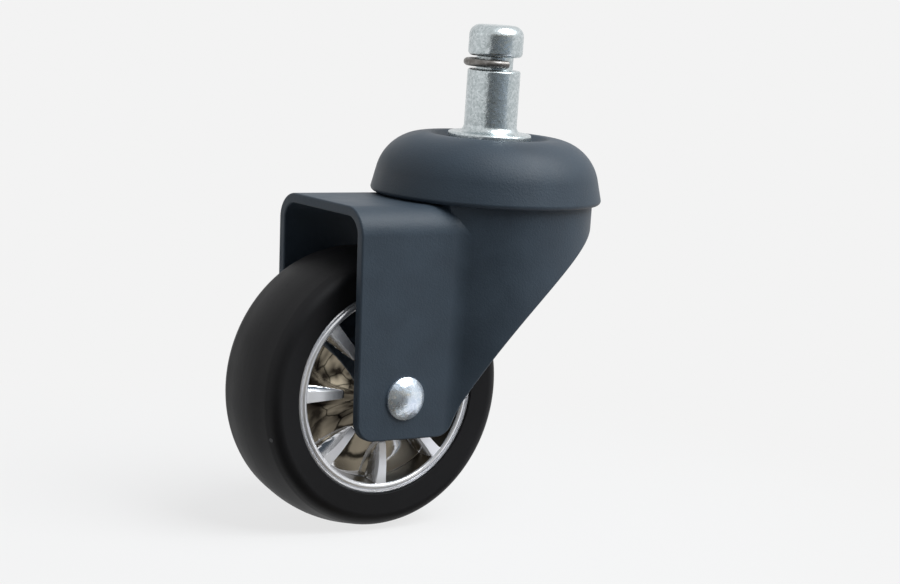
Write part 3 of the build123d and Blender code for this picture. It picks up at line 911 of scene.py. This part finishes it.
def hub_cap_points(facing):
    """Polar grid of a hub cap with two masks: the columns bunch at the fins' flanks, and the fins rise.

    The satin mask is 1 on the fins' crests, a share on the ring and 0 on the bright flanks and dish. The
    corner mask is 1 on the steep wall between dish and bead, where the colour carries painted shade.
    """
    profile = np.vstack([cap_face, cap_back])
    across_r = profile[:, 0][:, None]
    foot_turn = fin_width(across_r, FIN_BASE) / 2 / np.clip(across_r, FIN_INNER, None)
    half_pitch = np.pi / FIN_COUNT
    near = np.linspace(0, 1, FIN_COLUMNS)[None, :] * foot_turn
    far = foot_turn + np.linspace(0, 1, GAP_COLUMNS)[None, 1:-1] * (half_pitch - foot_turn)
    half = np.hstack([near, far])
    middle = np.full_like(across_r, half_pitch)
    sector = np.hstack([-half[:, :0:-1], half, middle])
    sideways = np.sin(sector) * across_r
    raised = soft_max(profile[:, 1][:, None], fin_height(across_r * np.cos(sector), sideways), FIN_EDGE)
    is_face = (np.arange(len(profile)) < len(cap_face))[:, None]
    in_reach = (across_r > FIN_INNER - FIN_REACH_IN) & (across_r < FIN_OUTER + FIN_REACH_OUT)
    height = np.where(is_face & in_reach, raised, profile[:, 1][:, None])
    turn = np.concatenate([sector + 2 * half_pitch * step for step in range(FIN_COUNT)], axis=1)
    height = np.tile(height, FIN_COUNT)
    across = np.broadcast_to(across_r, turn.shape)
    points = np.stack([across * np.sin(turn), facing * height, across * np.cos(turn)], axis=2)
    on_fin = height - profile[:, 1][:, None] > FIN_FOOT
    near_crest = np.clip((height - BEAD_TOP + SATIN_DEPTH) / SATIN_BLEND, 0, 1)
    satin = np.where(on_fin, near_crest, RING_SATIN * (across > BEAD_R))
    # Corner mask: where painted shade darkens the wall between dish and bead.
    corner = (~on_fin & (across > DISH_R) & (across < BEAD_R)).astype(float)
    return HUB_CENTRE + MM * points, {"satin": satin, "corner": corner}


for facing, side in ((-1, "near"), (1, "far")):
    cap_points, cap_masks = hub_cap_points(facing)
    hub_cap = grid_piece(f"hub_cap_{side}_plated", cap_points, **cap_masks)
    dress(hub_cap, "wheel", "chrome_plate", CHROME_PLATE, f"hub_cap_{side}")

# %% [markdown]
# ## Floor, backdrop and light
#
# The castor stands on pale paper. For rays from the camera and for reflections the paper is mostly its own
# plain colour, and the rest is lit, so that the soft shadow stays. Light that bounces off it is held down,
# as in a room whose floor is dark around the paper.

# %% Floor
PALE = (0.896, 0.896, 0.896, 1)
BOUNCE = (0.30, 0.30, 0.30, 1)
SHADOW_SHARE = 0.16
SHADOW_REACH = 0.15
FULL_SHADOW = 0.2
FLOOR_HALF = 20.0


def seen_rays(tree, path):
    """1 for rays from the camera, off gloss and through glass, and 0 for the rest."""
    some = math_node(tree, "ADD", path.outputs["Is Camera Ray"], path.outputs["Is Glossy Ray"], clamp=True)
    return math_node(tree, "ADD", some, path.outputs["Is Transmission Ray"], clamp=True)


def stage_sheet(name, points, material):
    """Grid of points with rows and columns, as an open sheet of the stage."""
    rows, columns = points.shape[:2]
    faces = grid_faces(rows, columns).reshape(rows, columns, 4)[:-1, :-1].reshape(-1, 4)
    mesh = bpy.data.meshes.new(name)
    mesh.from_pydata(points.reshape(-1, 3).tolist(), [], faces.tolist())
    mesh.materials.append(material)
    sheet = bpy.data.objects.new(name, mesh)
    bpy.context.scene.collection.objects.link(sheet)
    return sheet


def mix_shaders(tree, share, first, second):
    """Mix of two shaders by a share."""
    mix = add(tree, "ShaderNodeMixShader")
    join(tree, share, mix.inputs["Fac"])
    join(tree, first, mix.inputs[1])
    join(tree, second, mix.inputs[2])
    return mix.outputs[0]


def coloured(tree, kind, colour):
    """Shader of a kind with one plain colour."""
    shader = add(tree, kind)
    shader.inputs["Color"].default_value = colour
    return shader.outputs[0]


def empty_material(name):
    """Material without a shader, and its output."""
    material = bpy.data.materials.new(name)
    material.use_nodes = True
    material.node_tree.nodes.clear()
    return material, material.node_tree, add(material.node_tree, "ShaderNodeOutputMaterial")


def make_paper():
    """Pale paper: lit near the castor, and its plain colour further away."""
    material, tree, output = empty_material("pale_paper")
    distance = add(tree, "ShaderNodeVectorMath", operation="DISTANCE")
    distance.inputs[1].default_value = (AXLE[0], 0, FLOOR_Z)
    join(tree, add(tree, "ShaderNodeTexCoord").outputs["Object"], distance.inputs[0])
    reach = math_node(tree, "DIVIDE", distance.outputs["Value"], SHADOW_REACH)
    lit = math_node(tree, "MULTIPLY", ramp(tree, reach, (FULL_SHADOW, 1.0), (1.0, 0.0)), SHADOW_SHARE)
    path = add(tree, "ShaderNodeLightPath")
    plain = math_node(tree, "MULTIPLY", math_node(tree, "SUBTRACT", 1.0, lit), seen_rays(tree, path))
    paper = mix_shaders(
        tree,
        path.outputs["Is Diffuse Ray"],
        coloured(tree, "ShaderNodeBsdfDiffuse", PALE),
        coloured(tree, "ShaderNodeBsdfDiffuse", BOUNCE),
    )
    glow = coloured(tree, "ShaderNodeEmission", PALE)
    join(tree, mix_shaders(tree, plain, paper, glow), output.inputs["Surface"])
    return material


floor_x, floor_y = np.meshgrid((-FLOOR_HALF, FLOOR_HALF), (-FLOOR_HALF, FLOOR_HALF))
stage_sheet("floor", np.stack([floor_x, floor_y, np.full((2, 2), FLOOR_Z)], axis=2), make_paper())
print("floor at", round(FLOOR_Z, 5))

# %% [markdown]
# ## Something for the metal to mirror
#
# Plated metal shows its surroundings, and in an all-white room chrome looks like paint. The photograph's
# chrome mirrors brown paving with a wall behind it, the stem mirrors something grey, and bright pavement lies
# to the right. Glowing cards stand in for them. Only reflections see the cards, so they neither light the
# castor nor shade it, and the camera looks through them.

# %% Card helpers
WALL_AZIMUTHS = (-58, 34)
CARD_COLUMNS = 49
CARD_Z = FLOOR_Z + 0.5 * MM


def reflection_card(name, points, material):
    """Sheet that only reflections see."""
    card = stage_sheet(name, points, material)
    card.visible_camera = False
    card.visible_diffuse = False
    card.visible_transmission = False
    card.visible_shadow = False
    print(name, "is a card for reflections")


def wall_card(name, distance, low, high, material):
    """Upright card about the stem: at azimuth a it stands at distance * (sin a, -cos a), from low to high."""
    turn = np.radians(np.linspace(*WALL_AZIMUTHS, CARD_COLUMNS))[None, :]
    height = np.array((low, high))[:, None] + 0 * turn
    x = distance * np.sin(turn) + 0 * height
    y = -distance * np.cos(turn) + 0 * height
    reflection_card(name, np.stack([x, y, height], axis=2), material)


def floor_card(name, x_range, y_range, material):
    """Rectangular card just above the floor."""
    x, y = np.meshgrid(x_range, y_range)
    reflection_card(name, np.stack([x, y, np.full_like(x, CARD_Z)], axis=2), material)


def fan_card(name, azimuths, reach, material):
    """Card just above the floor, about the wheel: at azimuth a and distance d it has d * (sin a, -cos a)."""
    turn = np.radians(np.linspace(*azimuths, CARD_COLUMNS))[None, :]
    distance = np.array(reach)[:, None]
    x = AXLE[0] + distance * np.sin(turn)
    y = -distance * np.cos(turn)
    reflection_card(name, np.stack([x, y, np.full_like(x, CARD_Z)], axis=2), material)


def object_noise(tree, scale):
    """Noise on the piece's own coordinates."""
    noise = add(tree, "ShaderNodeTexNoise")
    noise.inputs["Scale"].default_value = scale
    join(tree, add(tree, "ShaderNodeTexCoord").outputs["Object"], noise.inputs["Vector"])
    return noise.outputs["Fac"]


def let_glow(tree, output, colour):
    """Finish a material as a plain glow in a colour that varies over it."""
    glow = add(tree, "ShaderNodeEmission")
    join(tree, colour, glow.inputs["Color"])
    join(tree, glow.outputs[0], output.inputs["Surface"])


# %% Card finishes
BAND_DISTANCE = 0.12
BAND_START = 0.25
BAND_PATCHES = 0.3
STAIN_SCALE = 0.8
STAIN = (0.016, 0.013, 0.010)


def make_paving(slab_scale, pale):
    """Brown paving: slabs that differ in tone, with dark joints between them."""
    material, tree, output = empty_material("brown_paving")
    slabs = add(tree, "ShaderNodeTexVoronoi", feature="DISTANCE_TO_EDGE")
    slabs.inputs["Scale"].default_value = slab_scale
    join(tree, add(tree, "ShaderNodeTexCoord").outputs["Object"], slabs.inputs["Vector"])
    slab = ramp(tree, object_noise(tree, STAIN_SCALE * slab_scale), (0.38, STAIN), (0.66, pale))
    joint = ramp(tree, slabs.outputs["Distance"], (0.015, 0.08), (0.045, 1.0))
    both = add(tree, "ShaderNodeMix", data_type="RGBA", blend_type="MULTIPLY")
    both.inputs["Factor"].default_value = 1.0
    join(tree, slab, both.inputs["A"])
    join(tree, joint, both.inputs["B"])
    let_glow(tree, output, both.outputs["Result"])
    return material


def make_grey_band():
    """Cool grey band: dark on the left and lighter to the right, with soft patches."""
    material, tree, output = empty_material("grey_band")
    sides = add(tree, "ShaderNodeSeparateXYZ")
    join(tree, add(tree, "ShaderNodeTexCoord").outputs["Object"], sides.inputs[0])
    spread = math_node(tree, "DIVIDE", sides.outputs["X"], 2 * BAND_DISTANCE)
    patches = math_node(tree, "MULTIPLY", object_noise(tree, 110.0), BAND_PATCHES)
    tone = math_node(tree, "ADD", math_node(tree, "ADD", patches, spread), BAND_START)
    dark, grey, light = (0.08, 0.095, 0.11), (0.27, 0.33, 0.40), (0.66, 0.74, 0.82)
    let_glow(tree, output, ramp(tree, tone, (0.0, dark), (0.55, grey), (0.9, light)))
    return material


def make_pale_floor():
    """Bright pavement to the right, a little uneven in tone."""
    material, tree, output = empty_material("pale_floor")
    shade, bright = (0.88, 0.90, 1.0), (1.05, 1.06, 1.1)
    let_glow(tree, output, ramp(tree, object_noise(tree, 60.0), (0.3, shade), (0.7, bright)))
    return material


# %% Reflection cards
WALL_DISTANCE = 0.60
PAVING_SPLIT = 0.085
WALL_SLAB = (0.52, 0.45, 0.33)
DULL_SLAB = (0.25, 0.215, 0.16)

wall_card("stone_wall", WALL_DISTANCE, low=FLOOR_Z, high=0.22, material=make_paving(6.0, WALL_SLAB))
wall_card("grey_band", BAND_DISTANCE, low=-0.012, high=0.026, material=make_grey_band())
near_paving = make_paving(48.0, DULL_SLAB)
fan_card("paving_near", azimuths=(-62, 8), reach=(0.045, PAVING_SPLIT), material=near_paving)
floor_card("paving_strip", x_range=(-0.031, 0.012), y_range=(-0.030, -0.011), material=near_paving)
floor_card("paving_left", x_range=(-0.080, -0.031), y_range=(-0.045, -0.011), material=near_paving)
fan_card("pale_floor", azimuths=(22, 66), reach=(0.04, 0.25), material=make_pale_floor())
far_paving = make_paving(10.0, DULL_SLAB)
fan_card("paving_fan", azimuths=(-62, 22), reach=(PAVING_SPLIT, WALL_DISTANCE), material=far_paving)

# %% [markdown]
# ## World and lamps
#
# The world is the plain pale backdrop for the camera and for reflections, and only a weak cool light for
# dull surfaces. One large soft lamp hangs above, in front and to the right, where the photograph's highlights
# say it was, and a weak one stands on the left.

# %% World and lamps
AMBIENT = (0.186, 0.20, 0.221, 1)
LAMP_AIM = (-0.01, 0, -0.03)


def make_world():
    """Plain pale surroundings for the camera and reflections, and a dimmer cool light for the rest."""
    world = bpy.data.worlds.new("studio")
    bpy.context.scene.world = world
    world.use_nodes = True
    tree = world.node_tree
    tree.nodes.clear()
    output = add(tree, "ShaderNodeOutputWorld")
    light = coloured(tree, "ShaderNodeBackground", AMBIENT)
    seen = coloured(tree, "ShaderNodeBackground", PALE)
    rays = seen_rays(tree, add(tree, "ShaderNodeLightPath"))
    join(tree, mix_shaders(tree, rays, light, seen), output.inputs["Surface"])


def soft_lamp(name, azimuth, elevation, distance, size, energy, colour):
    """Square area lamp at an azimuth and elevation in degrees, turned towards the castor."""
    a, e = math.radians(azimuth), math.radians(elevation)
    place = Vector((math.sin(a) * math.cos(e), -math.cos(a) * math.cos(e), math.sin(e))) * distance
    lamp = bpy.data.lights.new(name, "AREA")
    lamp.size = size
    lamp.energy = energy
    lamp.color = colour
    holder = bpy.data.objects.new(name, lamp)
    holder.location = place
    holder.rotation_mode = "QUATERNION"
    holder.rotation_quaternion = (Vector(LAMP_AIM) - place).to_track_quat("-Z", "Y")
    bpy.context.scene.collection.objects.link(holder)
    print(name, energy, "W")


make_world()
soft_lamp(
    "sky_lamp", azimuth=34, elevation=54, distance=0.95, size=0.8, energy=14.3, colour=(0.95, 0.98, 1.0)
)
soft_lamp(
    "left_lamp", azimuth=-110, elevation=20, distance=0.9, size=0.6, energy=0.21, colour=(1.0, 1.0, 1.0)
)

# %% [markdown]
# ## The camera
#
# The camera's place was worked out from edges of the castor in the photograph: it looks at the near side
# from the left and a little from above, with a slight roll. The lens is long, so the castor hardly tapers.

# %% Camera
CAMERA_AZIMUTH = math.radians(-36.0)
CAMERA_ELEVATION = math.radians(7.37)
CAMERA_ROLL = math.radians(3.93)
CAMERA_DISTANCE = 0.492
CAMERA_TARGET = np.array((-0.008, 0, -0.025))
AIM_DROP = 0.00798
LENS = 95.8
SENSOR_WIDTH = 36.0

back = np.array(
    (
        math.sin(CAMERA_AZIMUTH) * math.cos(CAMERA_ELEVATION),
        -math.cos(CAMERA_AZIMUTH) * math.cos(CAMERA_ELEVATION),
        math.sin(CAMERA_ELEVATION),
    )
)
horizon = np.array((math.cos(CAMERA_AZIMUTH), math.sin(CAMERA_AZIMUTH), 0))
upright = np.cross(back, horizon)
camera_right = horizon * math.cos(CAMERA_ROLL) + upright * math.sin(CAMERA_ROLL)
camera_up = upright * math.cos(CAMERA_ROLL) - horizon * math.sin(CAMERA_ROLL)
camera_place = CAMERA_TARGET + back * CAMERA_DISTANCE
camera_back = camera_place - (CAMERA_TARGET - camera_up * AIM_DROP)
camera_back /= np.linalg.norm(camera_back)
camera_up = np.cross(camera_back, camera_right)
camera_up /= np.linalg.norm(camera_up)
camera_axes = np.stack([np.cross(camera_up, camera_back), camera_up, camera_back], axis=1)

camera_data = bpy.data.cameras.new("camera")
camera_data.lens = LENS
camera_data.sensor_width = SENSOR_WIDTH
camera = bpy.data.objects.new("camera", camera_data)
camera.matrix_world = Matrix.Translation(camera_place) @ Matrix(camera_axes.tolist()).to_4x4()
bpy.context.scene.collection.objects.link(camera)
bpy.context.scene.camera = camera
bpy.context.scene.view_settings.view_transform = "Standard"
print("camera at", camera_place.round(4))

# %% [markdown]
# ## The end
#
# The view layer is brought up to date.

# %% Finish
bpy.context.view_layer.update()
